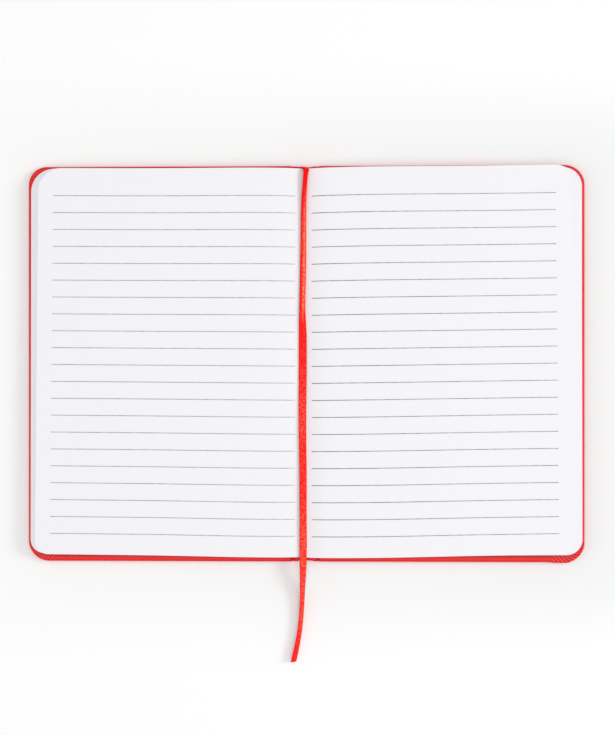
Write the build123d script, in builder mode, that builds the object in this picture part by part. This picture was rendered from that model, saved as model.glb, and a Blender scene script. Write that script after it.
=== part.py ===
from build123d import *
from math import radians, tan
import os

# A pocket notebook in a leather cover, lying open and flat at its middle spread.
# Millimetres. +X is the back cover's side, +Y the head of the pages and +Z up.
# The origin is on the table, under the middle of the spine.

# Driving dimensions
COVER_HEIGHT = 148.0
OPEN_WIDTH = 208.0
HALF_SPINE = 4.2  # from the spine's middle to the line that a cover turns about
CORNER_RADIUS = 7.5
SKIN = 0.5  # leather
BOARD = 1.8  # grey board in each cover
SPINE_LINER = 0.6  # thin card in the spine
TURN_IN = 0.4  # leather folded over the boards, pared thinner
TURN_IN_WIDTH = 13.0
PASTEDOWN = 0.15
PASTEDOWN_MARGIN = 3.0
MULL = 0.1  # gauze that joins the sewn block to the boards
MULL_WIDTH = 16.3
MULL_HEIGHT = 120.0
BOARD_GAP = 1.5  # from a cover's turning line to its board
JOINT_GAP = 0.15  # between the spine's leather and a cover's
SPINE_SHORTER = 0.6  # the spine is this much shorter than the covers, at each end
LINER_MARGIN = 1.0  # from a turning line to the spine's card
ROUNDED_EDGE = 0.35
WINDOW_CORNER = 2.0  # of the opening that the turn-ins leave

PAGE_HEIGHT = 144.0
PAGE_WIDTH = 99.0
PAGE_CORNER = 7.0
FLYLEAF = 0.12
FLYLEAF_GAP = 0.1  # from a turning line to the flyleaf's inner edge
FLYLEAF_SHORTER = 0.3  # than a page, at the fore edge
FLYLEAF_SLACK = 0.01
LEAF = 0.1
LEAF_INNER_EDGE = 0.6
SECTION = 0.54  # eight leaves, folded and pressed
AIR = 0.03
SECTIONS_A_SIDE = 6
SECTION_BACK_RADIUS = 0.2

STITCHES = 4
STITCH_LENGTH = 24.0
STITCH_PITCH = 36.0
THREAD_RADIUS = 0.12
THREAD_GROOVE_DEPTH = 0.35
THREAD_GROOVE_HEIGHT = 0.3

RIBBON_WIDTH = 3.0
RIBBON_THICKNESS = 0.25
RIBBON_HEAD_FOLD = 3.0  # radius of its fold over the head of the pages
ANCHOR_THICKNESS = 0.15
ANCHOR_LENGTH = 12.2
ANCHOR_INSET = 0.2  # from the head of the spine
ANCHOR_OFFSET = 0.05

# Levels that follow from them
COVER_THICKNESS = SKIN + BOARD + TURN_IN
INNER_FACE = COVER_THICKNESS + PASTEDOWN
SPINE_HEIGHT = COVER_HEIGHT - 2 * SPINE_SHORTER
SPINE_TOP = SKIN + SPINE_LINER + TURN_IN
PITCH = SECTION + AIR
FIRST_SECTION_TOP = FLYLEAF + AIR + FLYLEAF_SLACK + SECTION  # over a cover's inner face
LAST_SECTION_TOP = FIRST_SECTION_TOP + (SECTIONS_A_SIDE - 1) * PITCH
SECOND_LEAF_BOTTOM = INNER_FACE + LAST_SECTION_TOP + AIR
FIRST_LEAF_BOTTOM = SECOND_LEAF_BOTTOM + LEAF + AIR

# The blank that the ribbon is cut from, around its route
BLANK_HALF_WIDTH = 20.0
BLANK_FLOOR = -1.0
BLANK_HEIGHT = 12.0

# The ribbon's route, from where it leaves the head of the spine to its cut end:
# (y, z) from the side, then (x, y) from above.
RIBBON_SIDE = [
    (73.6, 3.2),
    (73.6, 7.25),
    (62.0, 6.805),
    (-80.0, 6.805),
    (-94.0, 1.9),
    (-111.4, 0.25),
]
RIBBON_PLAN = [
    (-1.5, 85.0),
    (-1.4, 45.0),
    (-1.75, 12.0),
    (-1.4, -25.0),
    (-1.3, -62.0),
    (-1.6, -86.0),
    (-2.4, -100.0),
    (-6.2, -118.0),
]

SIDES = {"front": -1, "back": 1, "left": -1, "right": 1}


def finish(builder, name):
    builder.part.label = name
    export_step(builder.part, f"parts/{name}.step")


def leaf_outline(side, inner, outer, height, radius):
    """Draws a sheet in the open sketch, with its two corners at the fore edge rounded."""
    with Locations((side * (inner + outer) / 2, 0)):
        Rectangle(outer - inner, height)
    fore_edge = vertices().group_by(Axis.X)[-1 if side > 0 else 0]
    fillet(fore_edge, radius)


def cover_skin(side, name):
    """Leather round one board: the outer face, the edges and the turn-ins inside."""
    with BuildPart() as skin:
        with BuildSketch():
            leaf_outline(side, HALF_SPINE + JOINT_GAP, OPEN_WIDTH / 2, COVER_HEIGHT, CORNER_RADIUS)
        extrude(amount=COVER_THICKNESS)
        rims = faces().group_by(Axis.Z)[0].edges() + faces().group_by(Axis.Z)[-1].edges()
        fillet(rims.filter_by(lambda rim: abs(rim.center().X) > 2 * HALF_SPINE), ROUNDED_EDGE)
        with BuildSketch(Plane.XY.offset(SKIN)):
            leaf_outline(
                side,
                HALF_SPINE - LINER_MARGIN,
                OPEN_WIDTH / 2 - SKIN,
                COVER_HEIGHT - 2 * SKIN,
                CORNER_RADIUS - SKIN,
            )
        extrude(amount=BOARD, mode=Mode.SUBTRACT)
        with BuildSketch(Plane.XY.offset(SKIN + BOARD)):
            leaf_outline(
                side,
                HALF_SPINE - LINER_MARGIN,
                OPEN_WIDTH / 2 - TURN_IN_WIDTH,
                COVER_HEIGHT - 2 * TURN_IN_WIDTH,
                WINDOW_CORNER,
            )
        extrude(amount=TURN_IN, mode=Mode.SUBTRACT)
    finish(skin, name)


def board(side, name):
    with BuildPart() as panel:
        with BuildSketch(Plane.XY.offset(SKIN)):
            leaf_outline(
                side,
                HALF_SPINE + BOARD_GAP,
                OPEN_WIDTH / 2 - SKIN,
                COVER_HEIGHT - 2 * SKIN,
                CORNER_RADIUS - SKIN,
            )
        extrude(amount=BOARD)
    finish(panel, name)


def mull(side, name):
    """One flange of the gauze, glued to the board under the pastedown."""
    with BuildPart() as gauze:
        with BuildSketch(Plane.XY.offset(SKIN + BOARD)):
            with Locations((side * (HALF_SPINE + BOARD_GAP + MULL_WIDTH / 2), 0)):
                Rectangle(MULL_WIDTH, MULL_HEIGHT)
        extrude(amount=MULL)
    finish(gauze, name)


def pastedown(side, name):
    """The sheet that covers the board's inside, filled out level with the turn-ins."""
    with BuildPart() as sheet:
        with BuildSketch(Plane.XY.offset(SKIN + BOARD)):
            leaf_outline(
                side,
                HALF_SPINE + BOARD_GAP,
                OPEN_WIDTH / 2 - TURN_IN_WIDTH,
                COVER_HEIGHT - 2 * TURN_IN_WIDTH,
                WINDOW_CORNER,
            )
        extrude(amount=TURN_IN)
        with BuildSketch(Plane.XY.offset(COVER_THICKNESS)):
            leaf_outline(
                side,
                HALF_SPINE + BOARD_GAP,
                OPEN_WIDTH / 2 - PASTEDOWN_MARGIN,
                COVER_HEIGHT - 2 * PASTEDOWN_MARGIN,
                CORNER_RADIUS - PASTEDOWN_MARGIN,
            )
        extrude(amount=PASTEDOWN)
        with Locations((side * (HALF_SPINE + BOARD_GAP + MULL_WIDTH / 2), 0, SKIN + BOARD)):
            Box(MULL_WIDTH, MULL_HEIGHT, 2 * MULL, mode=Mode.SUBTRACT)
    finish(sheet, name)


def flyleaf(side, name):
    with BuildPart() as sheet:
        with BuildSketch(Plane.XY.offset(INNER_FACE)):
            leaf_outline(
                side,
                HALF_SPINE + FLYLEAF_GAP,
                HALF_SPINE - FLYLEAF_SHORTER + PAGE_WIDTH,
                PAGE_HEIGHT,
                PAGE_CORNER,
            )
        extrude(amount=FLYLEAF)
    finish(sheet, name)


def section(side, height, name):
    """Eight folded leaves whose top is height over the cover's inner face.
    The backs step inwards as they rise, so that they line up when the cover is closed."""
    back = HALF_SPINE - height
    with BuildPart() as fold:
        with BuildSketch(Plane.XY.offset(INNER_FACE + height - SECTION)):
            leaf_outline(side, back, back + PAGE_WIDTH, PAGE_HEIGHT, PAGE_CORNER)
        extrude(amount=SECTION)
        fillet(
            edges().filter_by(Axis.Y).group_by(Axis.X)[0 if side > 0 else -1],
            SECTION_BACK_RADIUS,
        )
        with Locations((side * back, 0, INNER_FACE + height - SECTION / 2)):
            with GridLocations(0, STITCH_PITCH, 1, STITCHES):
                Box(
                    2 * THREAD_GROOVE_DEPTH,
                    STITCH_LENGTH,
                    THREAD_GROOVE_HEIGHT,
                    mode=Mode.SUBTRACT,
                )
    finish(fold, name)


def thread(side, height, name):
    """The stitches along the back of that section."""
    middle = HALF_SPINE - height + THREAD_GROOVE_DEPTH - THREAD_RADIUS
    with BuildPart() as stitches:
        with Locations((side * middle, 0, INNER_FACE + height - SECTION / 2)):
            with GridLocations(0, STITCH_PITCH, 1, STITCHES):
                Cylinder(THREAD_RADIUS, STITCH_LENGTH, rotation=(90, 0, 0))
    finish(stitches, name)


def leaf(side, bottom, name):
    with BuildPart() as sheet:
        with BuildSketch(Plane.XY.offset(bottom)):
            leaf_outline(
                side, LEAF_INNER_EDGE, LEAF_INNER_EDGE + PAGE_WIDTH, PAGE_HEIGHT, PAGE_CORNER
            )
        extrude(amount=LEAF)
    finish(sheet, name)


def spine_skin():
    with BuildPart() as skin:
        Box(
            2 * HALF_SPINE,
            SPINE_HEIGHT,
            SPINE_TOP,
            align=(Align.CENTER, Align.CENTER, Align.MIN),
        )
        ends = edges().filter_by(Axis.X)
        fillet(ends, ROUNDED_EDGE)
        with BuildSketch(Plane.XY.offset(SKIN)):
            Rectangle(2 * HALF_SPINE, SPINE_HEIGHT - 2 * SKIN)
        extrude(amount=SPINE_LINER, mode=Mode.SUBTRACT)
        with BuildSketch(Plane.XY.offset(SKIN + SPINE_LINER)):
            Rectangle(2 * HALF_SPINE, SPINE_HEIGHT - 2 * TURN_IN_WIDTH)
        extrude(amount=TURN_IN, mode=Mode.SUBTRACT)
    finish(skin, "spine_skin")


def spine_liner():
    with BuildPart() as card:
        with BuildSketch(Plane.XY.offset(SKIN)):
            Rectangle(2 * (HALF_SPINE - LINER_MARGIN), SPINE_HEIGHT - 2 * SKIN)
        extrude(amount=SPINE_LINER)
    finish(card, "spine_liner")


def ribbon_anchor():
    """The end of the ribbon, glued to the turn-in at the head of the spine."""
    middle_x = RIBBON_PLAN[0][0] + ANCHOR_OFFSET
    middle_y = SPINE_HEIGHT / 2 - ANCHOR_INSET - ANCHOR_LENGTH / 2
    with BuildPart() as glued_end:
        with BuildSketch(Plane.XY.offset(SPINE_TOP)):
            with Locations((middle_x, middle_y)):
                Rectangle(RIBBON_WIDTH, ANCHOR_LENGTH)
        extrude(amount=ANCHOR_THICKNESS)
    finish(glued_end, "ribbon_anchor")


def arc_radii(route):
    """A radius for each corner of a route: 0.45 of the shorter run, over the tangent of half the turn."""
    points = [Vector(*point) for point in route]
    radii = []
    for before, corner, after in zip(points, points[1:], points[2:]):
        shorter = min((corner - before).length, (after - corner).length)
        turn = (corner - before).get_angle(after - corner)
        radii.append(0.45 * shorter / tan(radians(turn) / 2))
    return radii


def ribbon_bookmark():
    """The free ribbon: a thin band with the side route's shape, cut to the plan route's."""
    side_radii = arc_radii(RIBBON_SIDE)
    side_radii[0] = RIBBON_HEAD_FOLD
    plan_radii = arc_radii(RIBBON_PLAN)
    with BuildPart() as ribbon:
        with BuildSketch(Plane.YZ):
            with BuildLine() as side_route:
                FilletPolyline(*RIBBON_SIDE, radius=side_radii)
            trace(line_width=RIBBON_THICKNESS)
        extrude(amount=BLANK_HALF_WIDTH, both=True)
        with BuildSketch(Plane.XY.offset(BLANK_FLOOR)):
            with BuildLine():
                FilletPolyline(*RIBBON_PLAN, radius=plan_radii)
            trace(line_width=RIBBON_WIDTH)
        extrude(amount=BLANK_HEIGHT, mode=Mode.INTERSECT)
    length = side_route.wires()[0].length
    print("ribbon radii from the side", [round(radius, 1) for radius in side_radii])
    print("ribbon radii from above", [round(radius) for radius in plan_radii])
    print(f"ribbon length {length:.1f}, volume {ribbon.part.volume:.2f}")
    print(f"its section times its length {RIBBON_WIDTH * RIBBON_THICKNESS * length:.2f}")
    finish(ribbon, "ribbon_bookmark")


os.makedirs("parts", exist_ok=True)

for which in ("front", "back"):
    cover_skin(SIDES[which], f"{which}_cover_skin")
    board(SIDES[which], f"{which}_board")
    mull(SIDES[which], f"{which}_mull")
    pastedown(SIDES[which], f"{which}_pastedown")
    flyleaf(SIDES[which], f"{which}_flyleaf")

spine_skin()
spine_liner()

# Sections 01 to 06 rise from the front cover and 07 to 12 go down to the back cover.
for step in range(SECTIONS_A_SIDE):
    top = FIRST_SECTION_TOP + step * PITCH
    left, right = step + 1, 2 * SECTIONS_A_SIDE - step
    section(SIDES["left"], top, f"section_{left:02d}")
    thread(SIDES["left"], top, f"thread_{left:02d}")
    section(SIDES["right"], top, f"section_{right:02d}")
    thread(SIDES["right"], top, f"thread_{right:02d}")

for which in ("left", "right"):
    leaf(SIDES[which], SECOND_LEAF_BOTTOM, f"{which}_leaf_2")
    leaf(SIDES[which], FIRST_LEAF_BOTTOM, f"{which}_leaf_1")

ribbon_anchor()
ribbon_bookmark()
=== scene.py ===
"""A leather-covered pocket notebook, open and flat, with a ribbon bookmark.

Every length below is in millimetres unless it says metres; points become metres when a mesh is made.
In the pages and covers, u runs from the gutter out to the fore edge, v from tail to head.
"""

import math
import random

import bmesh
import bpy
import numpy as np
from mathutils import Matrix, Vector


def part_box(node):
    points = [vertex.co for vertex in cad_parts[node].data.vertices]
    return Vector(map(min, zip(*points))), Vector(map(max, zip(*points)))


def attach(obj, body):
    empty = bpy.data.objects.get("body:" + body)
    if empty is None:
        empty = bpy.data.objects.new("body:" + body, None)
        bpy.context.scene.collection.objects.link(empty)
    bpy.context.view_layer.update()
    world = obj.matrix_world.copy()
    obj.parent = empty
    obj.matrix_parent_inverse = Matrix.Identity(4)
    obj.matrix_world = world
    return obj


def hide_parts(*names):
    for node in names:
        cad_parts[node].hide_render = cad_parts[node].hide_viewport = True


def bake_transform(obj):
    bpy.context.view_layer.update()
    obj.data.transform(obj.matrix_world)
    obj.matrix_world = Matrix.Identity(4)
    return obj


MM = 0.001

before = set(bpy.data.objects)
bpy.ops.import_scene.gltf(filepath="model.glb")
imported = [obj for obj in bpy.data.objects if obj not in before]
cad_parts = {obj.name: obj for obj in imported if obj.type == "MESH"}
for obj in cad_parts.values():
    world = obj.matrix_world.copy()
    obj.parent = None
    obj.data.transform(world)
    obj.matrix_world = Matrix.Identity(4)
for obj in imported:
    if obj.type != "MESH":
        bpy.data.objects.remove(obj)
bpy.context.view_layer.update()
random.seed(11)


def box_mm(node):
    """A CAD node's lowest and highest corners."""
    low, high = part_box(node)
    return [x / MM for x in low], [x / MM for x in high]


# ---------------------------------------------------------------- sizes read from the frame
OUTER, HALF_COVER, COVER_TOP = box_mm("back_cover_skin")[1]  # OUTER is the covers' fore edge
LEATHER = box_mm("back_board")[0][2]  # how thick it is under the boards
BOARD_TOP = box_mm("back_board")[1][2]
SPINE_TOP = box_mm("spine_skin")[1][2]
PASTED_OUTER, HALF_PASTED, INNER_FACE = box_mm("back_pastedown")[1]
FLYLEAF_OUTER = box_mm("back_flyleaf")[1][0]
GUTTER_Z = box_mm("left_leaf_1")[1][2] + 0.39  # the leaves' turning line

HALF_SPINE_HEIGHT = 73.75
HALF_PAGE = 72.03
COVER_CORNER = {("left", "head"): 6.8, ("right", "head"): 7.5, ("left", "tail"): 7.8, ("right", "tail"): 7.4}
# The block's corners: (at the tail, at the head).
PAGE_CORNERS = {"left": (5.1, 8.6), "right": (5.8, 6.9)}
PAGE_CORNER = 8.6  # the widest part of a leaf that its corners take up
PASTED_CORNER = 6.0
TURN_IN_WIDTH = 13.0
SECTIONS_A_SIDE = 6
SHEETS = 4  # folded sheets in a section, two leaves each
SHEET_SHARE = 0.86  # of the room that a leaf has in its section
LEAF_THICKNESS = 0.085
ENDPAPER_THICKNESS = 0.105

# ---------------------------------------------------------------- how the block has settled
GUTTER_DIP = 0.49  # share of a leaf's height that it loses at the fold
GUTTER_REACH = 13.0
FORE_EDGE_DROP = 0.10  # and at the fore edge
DROP_FROM, DROP_TO = 55.0, 100.0  # from the gutter
PAGE_LIFT = {"left": 0.27, "right": 0.16}  # how far the block sits towards the head
# How far the leaves climb towards the head on their way out, for the lowest leaf and the top one.
CLIMB = {"left": (0.0087, 0.0073), "right": (0.0063, 0.0132)}
# How far the top leaf's fore edge leans; the lowest one's stands square.
LEAN = {"left": 0.0092, "right": 0.0102}
LEAN_FROM = 22.0  # the lean grows from the fold to this far out
# The page is a little taller near the fold, where it arches: (share, how far out, how wide, share elsewhere).
ARCH = {"left": (0.0052, 18.0, 26.0, -0.0002), "right": (0.0064, 24.0, 32.0, 0.0010)}
FULL_HEIGHT = 3.8
FAN = 0.855  # how far a leaf's fore edge draws in for each millimetre that it lies higher
LOWEST_FORE_EDGE = 102.85
FIRST_HEIGHT = 0.7
UNEVEN_FORE_EDGE = 0.10
UNEVEN_LEAN = 0.0006

SIDES = {"left": -1, "right": 1}
COVER_OF = {"left": "front", "right": "back"}


def smooth(t):
    """From 0 to 1 as t does, with no kink at either end."""
    t = np.clip(t, 0.0, 1.0)
    return t * t * (3 - 2 * t)


def settled_height(height, out):
    """How high over the cover's inner face a leaf lies, out mm from its fold, if it is height up where it
    is flat."""
    dip = GUTTER_DIP * np.clip(1 - out / GUTTER_REACH, 0, 1) ** 3
    drop = FORE_EDGE_DROP * smooth((out - DROP_FROM) / (DROP_TO - DROP_FROM))
    return height * (1 - dip - drop)


def fore_edge(height):
    """How far out a leaf at that height reaches, because the block fans out."""
    return LOWEST_FORE_EDGE - FAN * (height - FIRST_HEIGHT)


# ---------------------------------------------------------------- mesh making
def add_mesh(name, points, faces, material, sharp=None):
    """A mesh object from points in mm, its faces all turned outwards. Where it turns by more than
    sharp degrees, its edges stay sharp."""
    mesh = bpy.data.meshes.new(name)
    mesh.from_pydata([tuple(p) for p in np.asarray(points, float) * MM], [], faces)
    mesh.materials.append(material)
    mesh.validate()
    shell = bmesh.new()
    shell.from_mesh(mesh)
    bmesh.ops.recalc_face_normals(shell, faces=shell.faces)
    shell.to_mesh(mesh)
    shell.free()
    mesh.polygons.foreach_set("use_smooth", [True] * len(mesh.polygons))
    mesh.update()
    if sharp:
        mark_sharp(mesh, math.radians(sharp))
    obj = bpy.data.objects.new(name, mesh)
    bpy.context.scene.collection.objects.link(obj)
    return obj


def mark_sharp(mesh, limit):
    """Keeps the edges of a closed mesh sharp where its faces meet at more than that angle."""
    normals = [p.normal.copy() for p in mesh.polygons]
    beside = {}
    for polygon in mesh.polygons:
        for key in polygon.edge_keys:
            beside.setdefault(key, []).append(polygon.index)
    for edge in mesh.edges:
        first, second = beside[edge.key]
        edge.use_edge_sharp = normals[first].angle(normals[second], 0) > limit


def add_pieces(name, parts, material, sharp=None):
    """One object from several (points, faces, vectors), and its vectors."""
    points, faces, vectors = [], [], []
    for some_points, some_faces, some_vectors in parts:
        start = sum(len(p) for p in points)
        faces += [tuple(start + i for i in face) for face in some_faces]
        points.append(some_points)
        vectors.append(some_vectors)
    return add_mesh(name, np.concatenate(points), faces, material, sharp), np.concatenate(vectors)


def set_vectors(obj, name, values):
    """A vector at each point, which a material reads by name."""
    attribute = obj.data.attributes.new(name, "FLOAT_VECTOR", "POINT")
    attribute.data.foreach_set("vector", np.asarray(values, np.float32).ravel())


def join_rows(first, second):
    """Faces between two rows of points of equal length."""
    return list(zip(first, first[1:], second[1:], second))


def slab_faces(rows, columns):
    """All the faces of a slab, whose points are a grid on its upper side and then one on its lower side."""
    upper = [list(range(i * columns, (i + 1) * columns)) for i in range(rows)]
    lower = [[rows * columns + point for point in row] for row in upper]
    faces = []
    for grid in (upper, lower):
        for first, second in zip(grid, grid[1:]):
            faces += join_rows(first, second)
    for end in (0, -1):
        faces += join_rows(upper[end], lower[end])
        faces += join_rows([row[end] for row in upper], [row[end] for row in lower])
    return faces


def tube_faces(rings):
    """All the faces of a tube from its closed rings of points, with its two ends."""
    faces = [tuple(rings[0]), tuple(rings[-1])]
    for first, second in zip(rings, rings[1:]):
        faces += join_rows(first + first[:1], second + second[:1])
    return faces


def directions(route):
    """The unit directions along a line of points."""
    along = np.gradient(route, axis=0)
    return along / np.linalg.norm(along, axis=1)[:, None]


def distances(route):
    """How far along a line each of its points lies."""
    return np.concatenate([[0], np.cumsum(np.linalg.norm(np.diff(route, axis=0), axis=1))])


# ---------------------------------------------------------------- materials
def new_material(name, base, roughness, specular):
    """A new material, its node tree and its shader."""
    material = bpy.data.materials.new(name)
    material.use_nodes = True
    shader = material.node_tree.nodes["Principled BSDF"]
    shader.inputs["Base Color"].default_value = (*base, 1)
    shader.inputs["Roughness"].default_value = roughness
    shader.inputs["Specular IOR Level"].default_value = specular
    return material, material.node_tree, shader


def fill(tree, socket, value):
    """Links a socket to another, or sets it."""
    if isinstance(value, bpy.types.NodeSocket):
        tree.links.new(value, socket)
    else:
        socket.default_value = value


def node(tree, kind, inputs=None, **settings):
    """A new shader node, its inputs linked or set by their names."""
    made = tree.nodes.new(kind)
    for key, value in settings.items():
        setattr(made, key, value)
    for key, value in (inputs or {}).items():
        fill(tree, made.inputs[key], value)
    return made


def maths(tree, operation, *values):
    made = node(tree, "ShaderNodeMath", operation=operation)
    for socket, value in zip(made.inputs, values):
        fill(tree, socket, value)
    return made.outputs[0]


def scaled(tree, value, factor):
    return maths(tree, "MULTIPLY", value, factor)


def object_point(tree):
    """The place on the object, in metres."""
    return node(tree, "ShaderNodeTexCoord").outputs["Object"]


def split(tree, whole):
    """A vector's three parts."""
    return list(node(tree, "ShaderNodeSeparateXYZ", {"Vector": whole}).outputs)


def vector(tree, name):
    """A vector that the mesh holds at its points, and its three parts."""
    whole = node(tree, "ShaderNodeAttribute", attribute_name=name).outputs["Vector"]
    return whole, split(tree, whole)


def noise(tree, point, scale, detail, **more):
    """Noise between 0 and 1; more may be distortion or roughness."""
    inputs = {"Vector": point, "Scale": scale, "Detail": detail}
    inputs.update({key.capitalize(): value for key, value in more.items()})
    return node(tree, "ShaderNodeTexNoise", inputs).outputs[0]


def ranged(tree, value, low, high, to_low=0.0, to_high=1.0, **settings):
    """The value stretched from low..high to to_low..to_high, and held there outside it."""
    inputs = {"Value": value, "From Min": low, "From Max": high, "To Min": to_low, "To Max": to_high}
    return node(tree, "ShaderNodeMapRange", inputs, **settings).outputs[0]


def mixed_colour(tree, amount, first, second):
    """The first colour where amount is 0, the second where it is 1."""
    made = node(tree, "ShaderNodeMix", data_type="RGBA")
    colours = [s for s in made.inputs if s.type == "RGBA"]
    for socket, colour in zip(colours, (first, second)):
        fill(tree, socket, (*colour, 1) if isinstance(colour, tuple) else colour)
    fill(tree, next(s for s in made.inputs if s.type == "VALUE"), amount)
    return next(s for s in made.outputs if s.type == "RGBA")


def link_surface(tree, shader, colour, shine=None, bump=None):
    """Gives a shader its colour and, where it has them, its roughness and its bump, which is
    (strength, distance in metres, height)."""
    tree.links.new(colour, shader.inputs["Base Color"])
    if shine:
        tree.links.new(shine, shader.inputs["Roughness"])
    if bump:
        strength, distance, height = bump
        inputs = {"Strength": strength, "Distance": distance, "Height": height}
        tree.links.new(node(tree, "ShaderNodeBump", inputs).outputs[0], shader.inputs["Normal"])


def leather_material():
    """Bright red smooth leather with a fine pebbled grain, pores and slightly uneven dye.
    tone holds (how deep in a crease, how much in the shade of an edge, how high on a crest): painted shade in
    the pleats' creases and along shaded edges, and a painted highlight on the pleats' crests."""
    material, tree, shader = new_material("red_leather", (0.80, 0.002, 0.008), 0.42, 0.36)
    point = object_point(tree)
    cells = node(
        tree,
        "ShaderNodeTexVoronoi",
        {"Vector": point, "Scale": 1700.0, "Randomness": 0.9},
        feature="DISTANCE_TO_EDGE",
    ).outputs["Distance"]
    pebbles = ranged(tree, cells, 0.0, 0.3)
    pores = noise(tree, point, 3600.0, 3.0)
    creases = noise(tree, point, 160.0, 5.0, distortion=1.2)
    clouds = noise(tree, point, 38.0, 3.0)
    grain = maths(tree, "ADD", scaled(tree, pebbles, 0.8), scaled(tree, pores, 0.35))
    grain = maths(tree, "ADD", grain, scaled(tree, creases, 0.5))
    dye = mixed_colour(tree, clouds, (0.86, 0.008, 0.012), (0.96, 0.020, 0.024))
    colour = mixed_colour(tree, pebbles, (0.74, 0.002, 0.006), dye)
    crease, shaded, crest = vector(tree, "tone")[1]
    # Painted shade in the creases of the pleats.
    colour = mixed_colour(tree, crease, colour, (0.12, 0.0, 0.001))
    # Painted shade where the turn-in runs under the pages, low on the edges, at the head and along the front
    # cover's fore edge.
    colour = mixed_colour(tree, scaled(tree, shaded, 0.45), colour, (0.25, 0.0, 0.002))
    # Painted highlight on the crests of the pleats.
    colour = mixed_colour(tree, scaled(tree, crest, 0.7), colour, (1.0, 0.075, 0.07))
    shine = ranged(tree, pores, 0.3, 0.7, 0.34, 0.50)
    link_surface(tree, shader, colour, shine, (0.32, 0.00012, grain))
    return material


def paper_tooth(tree, strength):
    """The faint tooth of uncoated paper, as link_surface takes it, and its broad part."""
    point = object_point(tree)
    broad = noise(tree, point, 420.0, 4.0)
    height = maths(tree, "ADD", noise(tree, point, 5200.0, 2.0), scaled(tree, broad, 0.6))
    return (strength, 0.00003, height), broad


RULE_PITCH = 6.3
RULES = 21
FIRST_RULE = 61.75  # from the middle of the page towards the head
RULE_LENGTH = 90.9
RULE_WIDTH = 0.28
RULE_BLUR = 0.03
RULE_START = {"left": 3.7, "right": 2.5}  # from the gutter
# How dark the rules are at a distance from the gutter: lighter near it on the left page, darker near it on
# the right.
INK = {
    "left": lambda u: 0.95 - 0.25 * math.exp(-u / 12),
    "right": lambda u: 1.0 + 0.4 * math.exp(-u / 25),
}


def ruled_paper_material():
    """White writing paper. page_mm holds (distance from the rules' inner end, height on the page, how dark
    the rules are there)."""
    material, tree, shader = new_material("ruled_paper", (0.885, 0.875, 0.905), 0.82, 0.22)
    tooth, broad = paper_tooth(tree, 0.25)
    along, up, strength = vector(tree, "page_mm")[1]
    steps = maths(tree, "DIVIDE", maths(tree, "SUBTRACT", FIRST_RULE, up), RULE_PITCH)
    nearest = maths(tree, "ROUND", steps)
    away = maths(tree, "ABSOLUTE", maths(tree, "SUBTRACT", steps, nearest))
    edges = [RULE_WIDTH / 2 - RULE_BLUR, RULE_WIDTH / 2 + RULE_BLUR]
    ink = ranged(tree, scaled(tree, away, RULE_PITCH), *edges, 1.0, 0.0)
    for limit in (
        maths(tree, "GREATER_THAN", nearest, -0.5),
        maths(tree, "LESS_THAN", nearest, RULES - 0.5),
        maths(tree, "GREATER_THAN", along, 0.0),
        maths(tree, "LESS_THAN", along, RULE_LENGTH),
    ):
        ink = maths(tree, "MULTIPLY", ink, limit)
    speckle = ranged(tree, broad, 0.35, 0.65, 0.62, 0.9)
    ink = maths(tree, "MULTIPLY", maths(tree, "MULTIPLY", ink, speckle), strength)
    paper = mixed_colour(tree, broad, (0.875, 0.865, 0.895), (0.895, 0.885, 0.915))
    link_surface(tree, shader, mixed_colour(tree, ink, paper, (0.17, 0.165, 0.17)), bump=tooth)
    return material


def plain_paper_material():
    """Unprinted endpaper, a little rougher than the pages."""
    material, tree, shader = new_material("endpaper", (0.88, 0.87, 0.89), 0.85, 0.2)
    tooth, broad = paper_tooth(tree, 0.3)
    colour = mixed_colour(tree, broad, (0.865, 0.855, 0.875), (0.895, 0.885, 0.905))
    link_surface(tree, shader, colour, bump=tooth)
    return material


def wave(tree, point, scale, distortion, direction):
    """Bands across a direction, which is X, Y or Z."""
    inputs = {"Vector": point, "Scale": scale, "Distortion": distortion}
    return node(tree, "ShaderNodeTexWave", inputs, bands_direction=direction).outputs[0]


def board_material():
    """Grey board pressed from recycled fibre."""
    material, tree, shader = new_material("grey_board", (0.42, 0.40, 0.37), 0.9, 0.2)
    point = object_point(tree)
    flecks = noise(tree, point, 900.0, 6.0)
    layers = wave(tree, point, 900.0, 3.0, "Z")
    colour = mixed_colour(tree, flecks, (0.30, 0.28, 0.25), (0.54, 0.52, 0.48))
    height = maths(tree, "ADD", flecks, scaled(tree, layers, 0.4))
    link_surface(tree, shader, colour, bump=(0.4, 0.0001, height))
    return material


def gauze_material():
    """Open-weave bookbinder's gauze, stiff with glue."""
    material, tree, shader = new_material("gauze", (0.80, 0.78, 0.70), 0.9, 0.2)
    point = object_point(tree)
    weave = maths(tree, "MAXIMUM", *[wave(tree, point, 420.0, 0.6, way) for way in ("X", "Y")])
    colour = mixed_colour(tree, weave, (0.55, 0.52, 0.42), (0.86, 0.84, 0.77))
    link_surface(tree, shader, colour, bump=(0.6, 0.0001, weave))
    return material


def half_waves(tree, phase):
    """A ridge for each whole step of the phase."""
    return maths(tree, "ABSOLUTE", maths(tree, "SINE", scaled(tree, phase, math.pi)))


THREAD_PLIES = 2.0
THREAD_TWIST = 2.2  # plies passed for each millimetre


def thread_material():
    """Waxed linen. strand_mm holds (distance along, turns round, 0)."""
    material, tree, shader = new_material("sewing_thread", (0.86, 0.84, 0.79), 0.6, 0.35)
    along, around, _ = vector(tree, "strand_mm")[1]
    passed = maths(tree, "ADD", scaled(tree, along, THREAD_TWIST), scaled(tree, around, THREAD_PLIES))
    plies = half_waves(tree, passed)
    colour = mixed_colour(tree, plies, (0.66, 0.62, 0.54), (0.88, 0.86, 0.81))
    link_surface(tree, shader, colour, bump=(0.7, 0.00006, plies))
    return material


RIB_PITCH = 0.55
RIB_SLANT = 1.1  # along the ribbon for each millimetre across it
WARP_PITCH = 0.2


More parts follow.
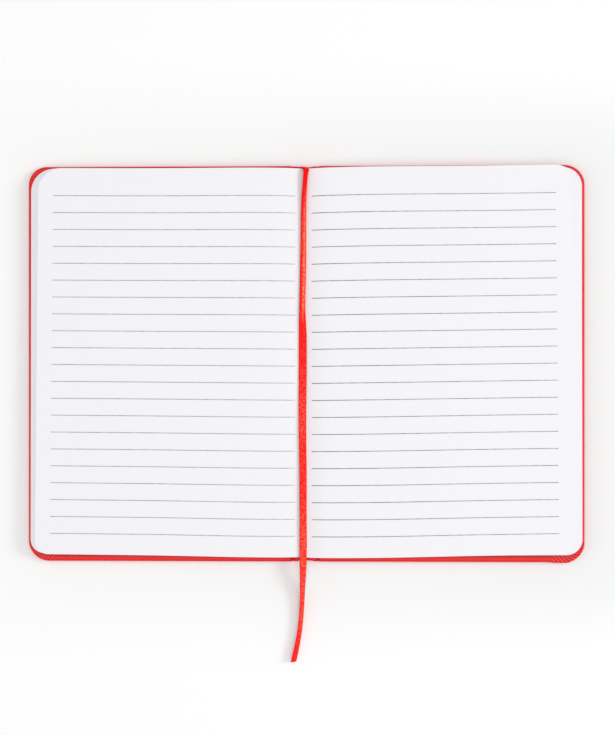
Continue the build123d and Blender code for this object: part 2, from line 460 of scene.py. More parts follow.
def ribbon_material():
    """Woven satin ribbon with a fine twill rib, a painted sheen in speckles where it catches the light, a
    painted highlight down its middle, and a duller back darkened further as painted shade. ribbon_mm holds
    (distance along, place across, 1 on the back), ribbon_tone (how much painted sheen, how much painted
    highlight, 0)."""
    material, tree, shader = new_material("red_ribbon", (1.0, 0.02, 0.015), 0.36, 0.06)
    shader.inputs["Specular Tint"].default_value = (1.0, 0.6, 0.45, 1)
    ribbon, (along, across, back) = vector(tree, "ribbon_mm")
    lit, gleaming, _ = vector(tree, "ribbon_tone")[1]
    wander = noise(tree, ribbon, 0.9, 2.0)
    slanted = maths(tree, "ADD", along, scaled(tree, across, RIB_SLANT))
    phase = maths(tree, "ADD", maths(tree, "DIVIDE", slanted, RIB_PITCH), scaled(tree, wander, 1.2))
    ribs = half_waves(tree, phase)
    warp = half_waves(tree, maths(tree, "DIVIDE", across, WARP_PITCH))
    fuzz = noise(tree, ribbon, 1.25, 4.0, roughness=0.75)
    height = maths(tree, "ADD", ribs, scaled(tree, warp, 0.35))
    height = maths(tree, "ADD", height, scaled(tree, fuzz, 0.6))
    spots = ranged(tree, noise(tree, ribbon, 1.1, 1.5, roughness=0.6), 0.44, 0.60)
    # Painted sheen: orange speckles along the weave, as strong as lit says.
    painted_sheen = maths(tree, "ADD", scaled(tree, spots, 0.85), scaled(tree, ribs, 0.15))
    painted_sheen = maths(tree, "MULTIPLY", painted_sheen, lit)
    colour = mixed_colour(tree, painted_sheen, (0.94, 0.001, 0.004), (1.0, 0.15, 0.09))
    # Painted highlight down the ribbon's middle, where gleaming is set.
    off_middle = maths(tree, "ABSOLUTE", maths(tree, "ADD", across, 0.1))
    gleam = maths(tree, "MULTIPLY", gleaming, ranged(tree, off_middle, 0.75, 0.15))
    gleam = maths(tree, "MULTIPLY", gleam, maths(tree, "ADD", scaled(tree, spots, 0.65), 0.25))
    colour = mixed_colour(tree, gleam, colour, (1.0, 0.34, 0.18))
    selvage = ranged(tree, maths(tree, "ABSOLUTE", across), 1.0, 1.45)
    colour = mixed_colour(tree, scaled(tree, selvage, 0.7), colour, (0.90, 0.002, 0.010))
    # The duller back, darkened further as painted shade.
    colour = mixed_colour(tree, scaled(tree, back, 0.75), colour, (0.42, 0.001, 0.004))
    shine = ranged(tree, fuzz, 0.0, 1.0, 0.28, 0.46)
    link_surface(tree, shader, colour, shine, (0.5, 0.00008, height))
    return material


leather = leather_material()
ruled_paper = ruled_paper_material()
endpaper = plain_paper_material()
grey_board = board_material()
gauze = gauze_material()
linen = thread_material()
satin = ribbon_material()


# ---------------------------------------------------------------- paper
def corner_inset(from_edge, radius):
    """How far a rounded corner cuts into the page's height at a distance from the fore edge."""
    inside = np.clip(radius - from_edge, 0, radius)
    return radius - np.sqrt(radius**2 - inside**2)


def page_limits(side, from_edge):
    """Where a leaf ends at the tail and at the head, at distances from the fore edge."""
    tail, head = [HALF_PAGE - corner_inset(from_edge, radius) for radius in PAGE_CORNERS[side]]
    return np.stack([-tail, head], axis=1)


def stations(inner, outer, radius, fine):
    """Distances from the gutter: close together by the fold and round the fore edge's corners."""
    bend = inner + (GUTTER_REACH + 4) * np.linspace(0, 1, fine) ** 1.6
    flat = np.linspace(bend[-1], outer - radius, fine)[1:]
    turn = outer - radius * (1 - np.sin(np.linspace(0, math.pi / 2, 17)[1:]))
    return np.concatenate([bend, flat, turn])


def folded_sheet(lower, upper, fold, middle, radius, half, steps):
    """A folded sheet's (u, z) section, in along its lower leaf and out along its upper one, and its ends
    there. Each leaf is (distances from the gutter, ends), and the fold is half high on each side."""
    (lower_out, lower_ends), (upper_out, upper_ends) = lower, upper
    path = [(u, middle - radius) for u in lower_out[::-1]]
    angles = np.linspace(-math.pi / 2, -3 * math.pi / 2, steps)[1:-1]
    path += [(fold + radius * math.cos(a), middle + radius * math.sin(a)) for a in angles]
    path += [(u, middle + radius) for u in upper_out]
    limits = np.concatenate([lower_ends[::-1], [(-half, half)] * len(angles), upper_ends])
    return np.array(path), limits


def sheet_mesh(side, path, limits, thickness, skew, columns=2):
    """A closed sheet: its points, faces and page_mm vectors. path is its (u, z) section, limits its ends at
    each point of that, and skew(u, v, z) how it has shifted."""
    along = directions(path)
    normal = np.stack([-along[:, 1], along[:, 0]], axis=1)
    share = np.linspace(0, 1, columns)
    points, page = [], []
    for face in (1, -1):
        offset = path + normal * face * thickness / 2
        for (u, z), flat_u, (low, high) in zip(offset, path[:, 0], limits):
            v = low + share * (high - low)
            du, dv, dz = skew(np.full(columns, u), v, z)
            points.append(np.stack([SIDES[side] * (u + du), v + dv, z + dz], axis=1))
            ink = np.full(columns, INK[side](flat_u))
            page.append(np.stack([np.full(columns, flat_u - RULE_START[side]), v, ink], axis=1))
    return np.concatenate(points), slab_faces(len(path), columns), np.concatenate(page)


def block_shift(side, height, jitter=0.0):
    """How the leaves at that height have settled in their own plane."""
    share = height / FULL_HEIGHT
    lowest, highest = CLIMB[side]
    climb = lowest + (highest - lowest) * share + jitter
    lean = LEAN[side] * share + jitter
    peak, where, width, rest = ARCH[side]

    def shift(u, v, z):
        taller = share * (rest + peak * np.exp(-(((u - where) / width) ** 2)))
        return -lean * v * smooth(u / LEAN_FROM), climb * u + PAGE_LIFT[side] + taller * v, 0 * v

    return shift


def section_sheets(side, number):
    """One section: four folded sheets, one inside the other."""
    name = f"section_{number:02d}"
    low, high = box_mm(name)
    back = min(abs(low[0]), abs(high[0]))
    pitch = (high[2] - low[2]) / (2 * SHEETS)
    fold = back + (SHEETS - 0.5) * pitch
    middle = (low[2] + high[2]) / 2
    height = high[2] - INNER_FACE
    parts = []
    for k in range(SHEETS):
        outer = fore_edge(height) + random.uniform(-UNEVEN_FORE_EDGE, UNEVEN_FORE_EDGE)
        radius = (SHEETS - 0.5 - k) * pitch
        out = stations(fold, outer, PAGE_CORNER, fine=9)
        leaf = (out, page_limits(side, outer - out))
        path, limits = folded_sheet(leaf, leaf, fold, middle, radius, HALF_PAGE, steps=7)
        path[:, 1] = INNER_FACE + settled_height(path[:, 1] - INNER_FACE, path[:, 0] - back)
        shift = block_shift(side, height, random.uniform(-UNEVEN_LEAN, UNEVEN_LEAN))
        parts.append(sheet_mesh(side, path, limits, pitch * SHEET_SHARE, shift))
    obj, page = add_pieces(f"{name}_sheets", parts, ruled_paper, sharp=35)
    set_vectors(obj, "page_mm", page)
    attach(obj, name)
    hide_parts(name)


LEAF_START = 0.05  # from the gutter
LEAF_BEND = (0.3, 5.0)  # from the gutter: where a bend beside it would start and end, which the leaf is not given
# For a side's first and second leaf: how far it reaches past the block, and how high its waves rise.
LEAF_REACH = {1: 0.05, 2: -0.10}
LEAF_LIFT = {1: 0.16, 2: 0.05}


def turning_leaf(side, order):
    """One of the two top leaves of a side."""
    name = f"{side}_leaf_{order}"
    low, high = box_mm(name)
    outer = fore_edge(FULL_HEIGHT) + LEAF_REACH[order]
    level = (low[2] + high[2]) / 2 - INNER_FACE
    out = stations(LEAF_START, outer, PAGE_CORNER, fine=16)
    path = np.stack([out, INNER_FACE + settled_height(level, out - LEAF_START)], axis=1)
    settled = block_shift(side, level)
    seed = 1.7 * order + (0.9 if side == "left" else 0)

    def shift(u, v, z):
        du, dv, dz = settled(u, v, z)
        wave = np.sin(v / 31 + seed) * np.sin(u / 37 + seed * 2) + 0.6 * np.sin(v / 13 + u / 21 + seed)
        curl = smooth((u - 60) / 45) * smooth((np.abs(v) - 30) / 45)
        return du, dv, dz + LEAF_LIFT[order] * ((wave + 1.6) / 3.2 * smooth((u - 2) / 20) + 1.2 * curl)

    limits = page_limits(side, outer - out)
    points, faces, page = sheet_mesh(side, path, limits, LEAF_THICKNESS, shift, columns=40)
    obj = add_mesh(f"{name}_sheet", points, faces, ruled_paper, sharp=35)
    set_vectors(obj, "page_mm", page)
    below = f"{side}_leaf_2" if order == 1 else {"left": "section_06", "right": "section_07"}[side]
    start, end = [(SIDES[side] * u * MM, 0, GUTTER_Z * MM) for u in LEAF_BEND]
    bend = [(below, start), (name, end)]
    if side == "right":  # the bend's two ends go the other way round on this side
        bend.reverse()
    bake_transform(obj)
    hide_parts(name)


ENDPAPER_FOLD = 4.42  # from the gutter
ENDPAPER_RADIUS = 0.058  # of that fold
PASTED_DEPTH = 0.055  # the middle of the pastedown lies this far under its upper face


def endpapers(side):
    """The pastedown and the flyleaf of one cover, which are one folded sheet."""
    cover = COVER_OF[side]
    middle = INNER_FACE - PASTED_DEPTH + ENDPAPER_RADIUS
    out = stations(ENDPAPER_FOLD, PASTED_OUTER, PASTED_CORNER, fine=6)
    pasted = HALF_PASTED - corner_inset(PASTED_OUTER - out, PASTED_CORNER)
    lower = (out, np.stack([-pasted, pasted], axis=1))
    back = stations(ENDPAPER_FOLD, FLYLEAF_OUTER, PAGE_CORNER, fine=6)
    upper = (back, page_limits(side, FLYLEAF_OUTER - back))
    path, limits = folded_sheet(
        lower, upper, ENDPAPER_FOLD, middle, ENDPAPER_RADIUS, HALF_PASTED, steps=6
    )
    settled = block_shift(side, 0.0)

    def shift(u, v, z):
        free = 1.0 if z > middle else 0.0
        return tuple(free * amount for amount in settled(u, v, z))

    points, faces, _ = sheet_mesh(side, path, limits, ENDPAPER_THICKNESS, shift)
    obj = add_mesh(f"{cover}_endpapers", points, faces, endpaper, sharp=35)
    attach(obj, f"{cover}_cover")
    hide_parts(f"{cover}_pastedown", f"{cover}_flyleaf")


# ---------------------------------------------------------------- sewing
THREAD_RADIUS = 0.1
STITCHES = 4
STITCH_LENGTH = 24.0
STITCH_PITCH = 36.0
STITCH_CLEAR = 0.06  # from the section's back to the thread's middle
STITCH_SUNK = 0.35  # how far its ends go in through the fold


def tube(route, radius, sides=6):
    """A closed round tube along a list of points; its vectors are (distance along, turns round, 0)."""
    route = np.asarray(route, float)
    rings, points, vectors = [], [], []
    for middle, forward, far in zip(route, directions(route), distances(route)):
        first = np.cross(forward, (0, 0, 1.0))
        first /= np.linalg.norm(first)
        second = np.cross(forward, first)
        rings.append(list(range(len(points), len(points) + sides)))
        for i in range(sides):
            a = 2 * math.pi * i / sides
            points.append(middle + radius * (math.cos(a) * first + math.sin(a) * second))
            vectors.append((far, i / sides, 0))
    return np.array(points), tube_faces(rings), np.array(vectors)


def sewing(side, number):
    """The long stitches along one section's back, each going in through the fold at its ends."""
    section = f"section_{number:02d}"
    low, high = box_mm(section)
    stitch_low, stitch_high = box_mm(f"thread_{number:02d}")
    back = min(abs(low[0]), abs(high[0])) - STITCH_CLEAR
    level = INNER_FACE + settled_height((low[2] + high[2]) / 2 - INNER_FACE, 0.0)
    first = (stitch_low[1] + stitch_high[1]) / 2 - STITCH_PITCH * (STITCHES - 1) / 2
    parts = []
    for i in range(STITCHES):
        middle = first + i * STITCH_PITCH
        route = []
        for share in np.linspace(-1, 1, 13):
            sunk = STITCH_SUNK * smooth((abs(share) - 0.9) / 0.1)
            sway = 0.03 * math.sin(5 * share + i + number)
            route.append((SIDES[side] * (back + sunk), middle + share * STITCH_LENGTH / 2, level + sway))
        parts.append(tube(route, THREAD_RADIUS))
    obj, strands = add_pieces(f"sewing_{number:02d}", parts, linen)
    set_vectors(obj, "strand_mm", strands)
    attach(obj, section)
    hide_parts(f"thread_{number:02d}")


# ---------------------------------------------------------------- leather
EDGE_LOW = 0.75  # radius of the fold at the outer face
EDGE_HIGH = 0.85  # and at the inside
JOINT_INNER = 3.9  # the joint's leather lies between these
JOINT_OUTER = 5.5
FACE_INSET = 20.0  # the outline's smallest ring, which the flat faces fill
BOARD_GAP = 0.02  # between a board and the turn-in over it
BOARD_CHAMFER = 0.15
TURN_IN_DROP = 0.04  # the turn-in lies this far below its pleated rim

# Where the turned-in leather is pleated: along the edge from the middle of each corner's arc,
# positive towards the tail or head edge, then the depth of the pleats.
PLEATS = {
    ("right", "tail"): (-6.0, 11.5, 0.42),
    ("left", "tail"): (2.5, 9.5, 0.34),
    ("right", "head"): (-6.0, 5.5, 0.22),
    ("left", "head"): (-5.0, 4.5, 0.18),
}
DEEPEST_PLEAT = max(depth for _, _, depth in PLEATS.values())
PLEAT_PITCH = 1.55
PLEAT_LEAN = 0.95
PLEAT_FADE = (1.6, 2.2)  # over these lengths at the two ends of the pleats
TAIL_BULGE = 0.28  # of the back cover's edge where its pleats are thickest
BULGE = (1.0, 12.6)  # from the middle of the corner's arc
NO_PLACE = 99.0  # past every pleat


def quarter(steps):
    """Angles from 0 to a right angle."""
    return np.linspace(0, math.pi / 2, steps)


def edge_profile():
    """The cover leather's section from the outer face round the edge to the end of the turn-in and back
    inside: (inset from the outline, z, how much of a pleat it takes)."""
    bottom = [(inset, 0.0, 0) for inset in (FACE_INSET, 5.0, 1.8)]
    bottom += [(EDGE_LOW * (1 - math.sin(a)), EDGE_LOW * (1 - math.cos(a)), 0) for a in quarter(6)]
    top = []
    for a in quarter(7)[1:]:
        top.append((EDGE_HIGH * (1 - math.cos(a)), COVER_TOP - EDGE_HIGH * (1 - math.sin(a)), math.sin(a)))
    turned = [(inset, COVER_TOP, 1) for inset in (1.15, 1.5, 2.0, 2.6)]
    turned += [
        (3.3, COVER_TOP - 0.03, 0.4),
        (6.0, COVER_TOP - TURN_IN_DROP, 0),
        (TURN_IN_WIDTH, COVER_TOP - TURN_IN_DROP, 0),
    ]
    under = [
        (TURN_IN_WIDTH, BOARD_TOP + BOARD_GAP, 0),
        (LEATHER + BOARD_CHAMFER, BOARD_TOP + BOARD_GAP, 0),
        (LEATHER, BOARD_TOP - BOARD_CHAMFER, 0),
        (LEATHER, LEATHER + BOARD_CHAMFER, 0),
        (LEATHER + BOARD_CHAMFER, LEATHER, 0),
        (FACE_INSET, LEATHER, 0),
    ]
    return bottom + top + turned + under


def outline(side, inset, near=7.0, corner_points=84, near_points=40, far_points=8):
    """The cover's three free edges, inset, as points (u, v), with the place along the edge measured from
    the middle of the nearer corner, and that corner's name. Within near of a corner they are close."""
    outer, half = OUTER - inset, HALF_COVER - inset
    halves = []
    for corner, sign in (("head", 1), ("tail", -1)):
        full = COVER_CORNER[(side, corner)]
        radius = max(full - inset, 1.0)
        reach = full * math.pi / 4
        straight = outer - radius
        split = straight - near
        half_way = []
        for share in np.linspace(0, 1, far_points)[:-1]:
            half_way.append((JOINT_OUTER + (split - JOINT_OUTER) * share, sign * half, NO_PLACE, corner))
        for share in np.linspace(0, 1, near_points)[:-1]:
            half_way.append((split + near * share, sign * half, reach + near * (1 - share), corner))
        for share in np.linspace(0, 1, corner_points):
            a = math.pi / 2 * (1 - share)
            v = half - radius + radius * math.sin(a)
            half_way.append((straight + radius * math.cos(a), sign * v, reach * (1 - 2 * share), corner))
        for share in np.linspace(0, 1, near_points)[1:]:
            half_way.append((outer, sign * (half - radius - near * share), -reach - near * share, corner))
        halves.append(half_way)
    head, tail = halves
    if side == "right":
        tail = [(u, v - tail_bulge(place), place, corner) for u, v, place, corner in tail]
    middle = np.linspace(head[-1][1], tail[-1][1], far_points)[1:-1]
    return head + [(outer, v, -NO_PLACE, "head") for v in middle] + tail[::-1]


def tail_bulge(place):
    """How far the thick pleats push the tail edge out there."""
    start, end = BULGE
    return TAIL_BULGE * float(smooth((place - start) / 4) * smooth((end - place) / 4))


def pleat(place, inset, side, corner):
    """How far the pleats press the leather down there, in mm, how deep in a crease that is and how high on
    a crest, each 0 to 1."""
    low, high, depth = PLEATS[(side, corner)]
    window = smooth((place - low) / PLEAT_FADE[0]) * smooth((high - place) / PLEAT_FADE[1])
    phase = (place - PLEAT_LEAN * (inset - 1.0)) / PLEAT_PITCH
    uneven = 0.75 + 0.25 * math.sin(2.3 * math.floor(phase) + 1.1)
    ridge = abs(math.sin(math.pi * phase))
    strength = window * depth / DEEPEST_PLEAT
    crease = strength * uneven * max(0.0, 1 - 1.5 * ridge)
    return depth * window * uneven * (ridge - 1), crease, strength * smooth((ridge - 0.7) / 0.3)


def edge_tone(side, corner, place, inset, z):
    """How far the leather's edge is in the shade there: low down, at the head and at the front cover's
    fore edge."""
    along_head = smooth(place / 3) if corner == "head" else 0.0
    along_front = smooth(-place / 3) if side == "left" else 0.0
    outermost = 1 - smooth((inset - 0.3) / 0.5)
    low = 0.5 * smooth((1.6 - z) / 0.8) * (1 - smooth((inset - 0.7) / 2.0))
    return float(max(0.6 * outermost * max(along_head, along_front), low))


def cover_leather(side):
    """One cover's leather: the outer face, the rounded edges and the turn-ins, pleated at the corners."""
    cover = COVER_OF[side]
    rings, points, tones = [], [], []
    for inset, z, pleated in edge_profile():
        ring = []
        for u, v, place, corner in outline(side, inset):
            sunk, crease, crest = pleat(place, inset, side, corner) if pleated else (0.0, 0.0, 0.0)
            ring.append(len(points))
            points.append((SIDES[side] * u, v, z + pleated * sunk))
            # Painted shade on the turn-in where it runs in under the pages, and along the shaded edges.
            shaded = smooth((inset - 1.3) / 0.8) if z > BOARD_TOP + 0.1 else 0.0
            shaded = max(shaded, edge_tone(side, corner, place, inset, z))
            tones.append((pleated * crease, shaded, pleated * crest))
        rings.append(ring)
    outer_face, inner_face = rings[0], rings[-1]
    faces = [tuple(outer_face), tuple(inner_face)]
    for first, second in zip(rings, rings[1:]):
        faces += join_rows(first, second)
    for end in (0, -1):
        faces.append(tuple(ring[end] for ring in rings))
    faces.append((outer_face[0], outer_face[-1], inner_face[-1], inner_face[0]))
    obj = add_mesh(f"{cover}_cover_leather", points, faces, leather, sharp=50)
    set_vectors(obj, "tone", tones)
    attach(obj, f"{cover}_cover")
    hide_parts(f"{cover}_cover_skin")


def half_height(x):
    """The leather is a little shorter across the spine than across the covers."""
    return HALF_SPINE_HEIGHT + (HALF_COVER - HALF_SPINE_HEIGHT) * smooth((abs(x) - 2.2) / 0.8)


STRIP_TURN_IN = 0.36  # thickness of the leather turned in at the spine and the joints
STRIP_GAP = 0.1
JOINT_VALLEY = 0.95


def strip_section(half, top, groove):
    """The leather's section across the spine or a joint: a closed loop of (v, z), the same at both ends."""
    low = min(EDGE_LOW, top * 0.45)
    high = min(EDGE_HIGH, top * 0.5)
    fold = half - LEATHER - STRIP_GAP
    end = [(half - low * (1 - math.sin(a)), groove + low * (1 - math.cos(a))) for a in quarter(6)]
    end += [(half - high * (1 - math.cos(a)), top - high * (1 - math.sin(a))) for a in quarter(6)]
    end += [
        (half - 3.0, top),
        (half - TURN_IN_WIDTH, top),
        (half - TURN_IN_WIDTH, top - STRIP_TURN_IN),
        (fold, top - STRIP_TURN_IN),
        (fold, groove + LEATHER),
    ]
    outside = [(v, groove) for v in np.linspace(-(half - 2), half - 2, 24)]
    inside = [(v, groove + LEATHER) for v in np.linspace(half - 4, -(half - 4), 12)]
    return outside + end + inside + [(-v, z) for v, z in end[:0:-1]]


def lofted_strip(name, places, top_of, groove_of):
    """A leather strip whose section changes along x."""
    points, rings = [], []
    for x in places:
        section = strip_section(half_height(x), top_of(abs(x)), groove_of(abs(x)))
        rings.append(list(range(len(points), len(points) + len(section))))
        points += [(x, v, z) for v, z in section]
    return add_mesh(name, points, tube_faces(rings), leather, sharp=50)


def joint_top(x):
    """The inside falls from the spine's card into the joint, then climbs on to the board."""
    fall = SPINE_TOP + (JOINT_VALLEY - SPINE_TOP) * smooth((x - JOINT_INNER) / 0.55)
    return fall + (COVER_TOP - JOINT_VALLEY) * smooth((x - 4.6) / 0.9)


JOINT_GROOVE = 0.16


def joint_groove(x):
    """How far the outside is pressed in along the joint."""
    return JOINT_GROOVE * smooth((x - JOINT_INNER) / 0.7) * smooth((JOINT_OUTER - x) / 0.7)


def spine_leather():
    """The leather of the spine, turned in at the head and the tail."""
    places = np.linspace(-JOINT_INNER, JOINT_INNER, 27)
    obj = lofted_strip("spine_leather", places, lambda x: SPINE_TOP, lambda x: 0.0)
    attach(obj, "spine")
    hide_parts("spine_skin")


def joint_leather(side):
    """The leather of the joint between the spine and one cover."""
    cover = COVER_OF[side]
    places = SIDES[side] * np.linspace(JOINT_INNER, JOINT_OUTER, 17)
    obj = lofted_strip(f"{cover}_joint_leather", places, joint_top, joint_groove)
    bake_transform(obj)


# ---------------------------------------------------------------- ribbon
RIBBON_WIDTH = 3.0
RIBBON_THICKNESS = 0.22
RIBBON_LOWEST = 0.03  # over the table
RIBBON_THINNING = 0.35  # share of its thickness that it loses at its edges
RIBBON_WAVE = 0.05
RIBBON_WAVE_STEP = 6.3  # along it for each radian of a wave
RIBBON_STEADY = (12.0, 14.0)  # its waves grow from nothing over these, from its head and its cut end
# Its route from the head of the spine, over the head of the pages, down the gutter and on to the table.
RIBBON_ROUTE = [
    (-1.2, 73.4, 3.0),
    (0.75, 73.3, 6.3),
    (0.35, 69.0, 6.2),
    (-0.25, 60.0, 5.9),
    (-0.35, 45.0, 5.8),
    (-0.60, 30.0, 5.8),
    (-0.90, 17.0, 5.8),
    (-0.80, -2.0, 5.9),
    (-1.00, -20.0, 5.9),
    (-0.60, -45.0, 5.9),
    (-0.65, -66.0, 5.95),
    (-0.70, -77.0, 5.6),
    (-0.95, -85.0, 2.4),
    (-1.30, -94.0, 1.4),
    (-2.35, -103.0, 1.5),
    (-4.35, -111.6, 1.7),
]
# How far it is turned about its own line: (height on the page, degrees, right edge down).
RIBBON_TURN = [
    (-111, 50), (-104, 53), (-96, 58), (-85, 56), (-80, 47), (-74, 32), (-66, 26), (-54, 34), (-35, 30),
    (-16, 20), (10, 14), (20, 38), (56, 42), (62, 52), (67, 60), (71.2, 56), (72.9, 14), (73.3, 4),
]
# How much higher its middle stands than its edges: (height on the page, mm).
RIBBON_CROWN = [(-111, 0.2), (-70, 0.2), (10, 0.25), (24, 0.62), (60, 0.68), (70, 0.4), (73, 0.2)]
# How much painted sheen its weave has and how much painted highlight its middle has: (height on the page,
# share, share).
RIBBON_TONE = [
    (-111, 0.25, 0), (-107, 0.3, 0), (-100, 0.6, 0), (-93, 1, 0), (-66, 1, 0), (-54, 0.75, 0), (-47, 0.6, 0),
    (-31, 0.5, 0), (-24, 0.9, 0), (-16, 0.8, 0), (-9, 0.6, 0), (0, 0.4, 0), (14, 0.25, 0), (22, 0.5, 1),
    (50, 0.6, 1), (60, 0.3, 0.3), (67, 0.05, 0), (74, 0, 0),
]


def smooth_route(points):
    """Points read along the NURBS spline that has those control points."""
    curve = bpy.data.curves.new("route", "CURVE")
    curve.dimensions = "3D"
    curve.resolution_u = 14
    spline = curve.splines.new("NURBS")
    spline.points.add(len(points) - 1)
    for made, place in zip(spline.points, points):
        made.co = (*[x * MM for x in place], 1)
    spline.order_u = 3
    spline.use_endpoint_u = True
    holder = bpy.data.objects.new("route", curve)
    mesh = bpy.data.meshes.new_from_object(holder)
    route = np.array([v.co for v in mesh.vertices], float) / MM
    bpy.data.meshes.remove(mesh)
    bpy.data.objects.remove(holder)
    bpy.data.curves.remove(curve)
    if np.linalg.norm(route[0] - points[0]) > np.linalg.norm(route[-1] - points[0]):
        route = route[::-1]
    return route


def waving(far, length):
    """How freely the ribbon waves there: 0 at its two ends, and 1 past the stretches where that grows."""
    head, tail = RIBBON_STEADY
    return min(1.0, far / head, (length - far) / tail)


def ribbon_bookmark():
    """The ribbon and the points that it follows: a cupped strip that is turned about its own line."""
    route = smooth_route(RIBBON_ROUTE)
    heights = route[:, 1]
    far_along = distances(route)
    length = far_along[-1]
    turn = np.radians(np.interp(heights, *zip(*RIBBON_TURN)))
    crowns = np.interp(heights, *zip(*RIBBON_CROWN))
    places, lit, gleaming = zip(*RIBBON_TONE)
    tones = [(np.interp(y, places, lit), np.interp(y, places, gleaming), 0) for y in heights]
    across_steps = np.linspace(-1, 1, 11)
    tops, bottoms, top_vectors, bottom_vectors = [], [], [], []
    for middle, forward, far, angle, crown in zip(route, directions(route), far_along, turn, crowns):
        side_way = np.array([1.0, 0, 0]) - forward * forward[0]
        side_way /= np.linalg.norm(side_way)
        across = math.cos(angle) * side_way - math.sin(angle) * np.cross(forward, side_way)
        face = np.cross(forward, across)
        half_width = RIBBON_WIDTH / 2 * (1 - 2 / 3 * (2 * crown / RIBBON_WIDTH) ** 2)
        for step in across_steps:
            wave = RIBBON_WAVE * math.sin(far / RIBBON_WAVE_STEP + 2 * step) * waving(far, length)
            place = middle + across * step * half_width + face * (crown * (0.4 - step**2) + wave)
            cut = (middle[1] - place[1]) / forward[1] if far == length else 0.0  # square to the page
            place = place + forward * cut
            half = RIBBON_THICKNESS / 2 * (1 - RIBBON_THINNING * abs(step) ** 6)
            tops.append(place + face * half)
            bottoms.append(place - face * half)
            top_vectors.append((far + cut, step * RIBBON_WIDTH / 2, 0))
            bottom_vectors.append((far + cut, step * RIBBON_WIDTH / 2, 1))
    points = np.array(tops + bottoms)
    points[:, 2] = np.maximum(points[:, 2], RIBBON_LOWEST)
    obj = add_mesh("ribbon", points, slab_faces(len(route), len(across_steps)), satin, sharp=60)
    set_vectors(obj, "ribbon_mm", top_vectors + bottom_vectors)
    set_vectors(obj, "ribbon_tone", [tone for tone in tones for _ in across_steps] * 2)
    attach(obj, "left_leaf_1")
    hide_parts("ribbon_bookmark")
    return obj, route


GLUED_THINNING = 0.03  # of each face of its glued end, at its edges


def glued_end():
    """The end of the ribbon under the block, glued to the spine's turn-in."""
    low, high = box_mm("ribbon_anchor")
    ys = np.linspace(low[1], high[1], 24)
    xs = np.linspace(low[0], high[0], 9)
    points, vectors = [], []
    for z, sign in ((high[2], 1), (low[2], -1)):
        for y in ys:
            for x in xs:
                edge = abs(2 * (x - low[0]) / (high[0] - low[0]) - 1) ** 6
                points.append((x, y, z - sign * GLUED_THINNING * edge))
                vectors.append((y - low[1], x - (low[0] + high[0]) / 2, 0))
    obj = add_mesh("ribbon_glued_end", points, slab_faces(len(ys), len(xs)), satin, sharp=60)
    set_vectors(obj, "ribbon_mm", vectors)
    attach(obj, "spine")
    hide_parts("ribbon_anchor")
    return obj


# ---------------------------------------------------------------- camera, floor and light
CAMERA_PLACE = (18.0, -11.4, 600.0)
CAMERA_AIM = 0.75  # to the right of the gutter
CAMERA_LENS = 78.3184
CAMERA_SENSOR = 36.0
CAMERA_SHIFT = 0.0364
# Square lamps that face the notebook: (name, place in metres, width in metres, watts, colour).
LAMPS = [
    ("key", (1.30, 0.18, 0.92), 0.45, 7.4, (1.0, 0.99, 0.985)),
    ("overhead", (0.10, -0.15, 1.30), 1.1, 6.3, (1.0, 1.0, 1.0)),
    ("fill", (-1.10, -0.10, 0.90), 0.8, 2.4, (1.0, 1.0, 1.0)),
]
FLOOR_SIZE = 6000.0
FLOOR_DEPTH = 0.02  # under the notebook
STUDIO_LIGHT = 0.50


def add_camera():
    """Looks straight down, a little from the right of the gutter."""
    data = bpy.data.cameras.new("camera")
    data.sensor_width = CAMERA_SENSOR
    data.lens = CAMERA_LENS
    data.shift_y = CAMERA_SHIFT
    data.clip_start, data.clip_end = 0.01, 10.0
    camera = bpy.data.objects.new("camera", data)
    camera.location = [x * MM for x in CAMERA_PLACE]
    camera.rotation_euler = (0, math.atan2(CAMERA_PLACE[0] - CAMERA_AIM, CAMERA_PLACE[2]), 0)
    bpy.context.scene.collection.objects.link(camera)
    bpy.context.scene.camera = camera


def add_lamp(name, place, width, power, colour):
    """A soft square lamp that points at the origin."""
    data = bpy.data.lights.new(name, "AREA")
    data.shape = "SQUARE"
    data.size = width
    data.energy = power
    data.color = colour
    lamp = bpy.data.objects.new(name, data)
    lamp.location = place
    lamp.rotation_euler = (-Vector(place)).to_track_quat("-Z", "Y").to_euler()
    bpy.context.scene.collection.objects.link(lamp)


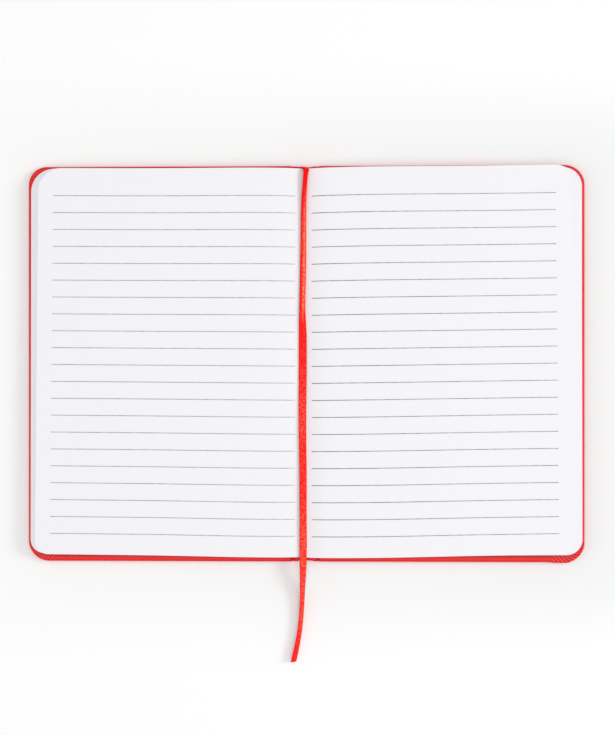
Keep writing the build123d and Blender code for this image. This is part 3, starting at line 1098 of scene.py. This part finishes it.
def floor_material():
    """White table paper, a little greyer near the notebook than far from it, as painted shade, and tinted a
    little against the red light that the leather throws on it. Its distances are in metres.
    """
    material, tree, shader = new_material("floor_white", (0.93, 0.93, 0.925), 0.75, 0.15)
    across, up, _ = split(tree, object_point(tree))
    squares = []
    for place, half in ((across, OUTER * MM), (up, HALF_COVER * MM)):
        beyond = maths(tree, "MAXIMUM", maths(tree, "SUBTRACT", maths(tree, "ABSOLUTE", place), half), 0.0)
        squares.append(maths(tree, "MULTIPLY", beyond, beyond))
    distance = maths(tree, "SQRT", maths(tree, "ADD", *squares))
    far = ranged(tree, distance, 0.002, 0.045, interpolation_type="SMOOTHSTEP")
    to_right = ranged(tree, across, -0.11, 0.11)
    # Painted shade near the notebook: less on the left, where it offsets the shadow that the notebook casts,
    # and more on the right, tinted against the red light that the leather throws there.
    near = mixed_colour(tree, to_right, (0.932, 0.944, 0.938), (0.868, 0.883, 0.879))
    link_surface(tree, shader, mixed_colour(tree, far, near, (0.98, 0.98, 0.98)))
    return material


def add_stage():
    """The floor and the light that comes from all round."""
    bpy.ops.mesh.primitive_plane_add(size=FLOOR_SIZE * MM, location=(0, 0, -FLOOR_DEPTH * MM))
    floor = bpy.context.object
    floor.name = "floor"
    floor.data.materials.append(floor_material())
    world = bpy.data.worlds.new("studio")
    bpy.context.scene.world = world
    world.use_nodes = True
    background = world.node_tree.nodes["Background"]
    background.inputs["Color"].default_value = (1.0, 1.0, 1.0, 1)
    background.inputs["Strength"].default_value = STUDIO_LIGHT
    bpy.context.scene.view_settings.view_transform = "Standard"


add_camera()
bookmark, bookmark_route = ribbon_bookmark()
glued = glued_end()
add_stage()
for lamp in LAMPS:
    add_lamp(*lamp)

for which in SIDES:
    cover_leather(which)
    joint_leather(which)
    endpapers(which)
spine_leather()
for step in range(SECTIONS_A_SIDE):
    for which, number in (("left", step + 1), ("right", 2 * SECTIONS_A_SIDE - step)):
        section_sheets(which, number)
        sewing(which, number)
for which in SIDES:
    for order in (2, 1):
        turning_leaf(which, order)

for name, material, slot in (
    ("front_board", grey_board, "board"),
    ("back_board", grey_board, "board"),
    ("spine_liner", grey_board, "board"),
    ("front_mull", gauze, "gauze"),
    ("back_mull", gauze, "gauze"),
):
    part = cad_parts[name]
    part.data.materials.clear()
    part.data.materials.append(material)
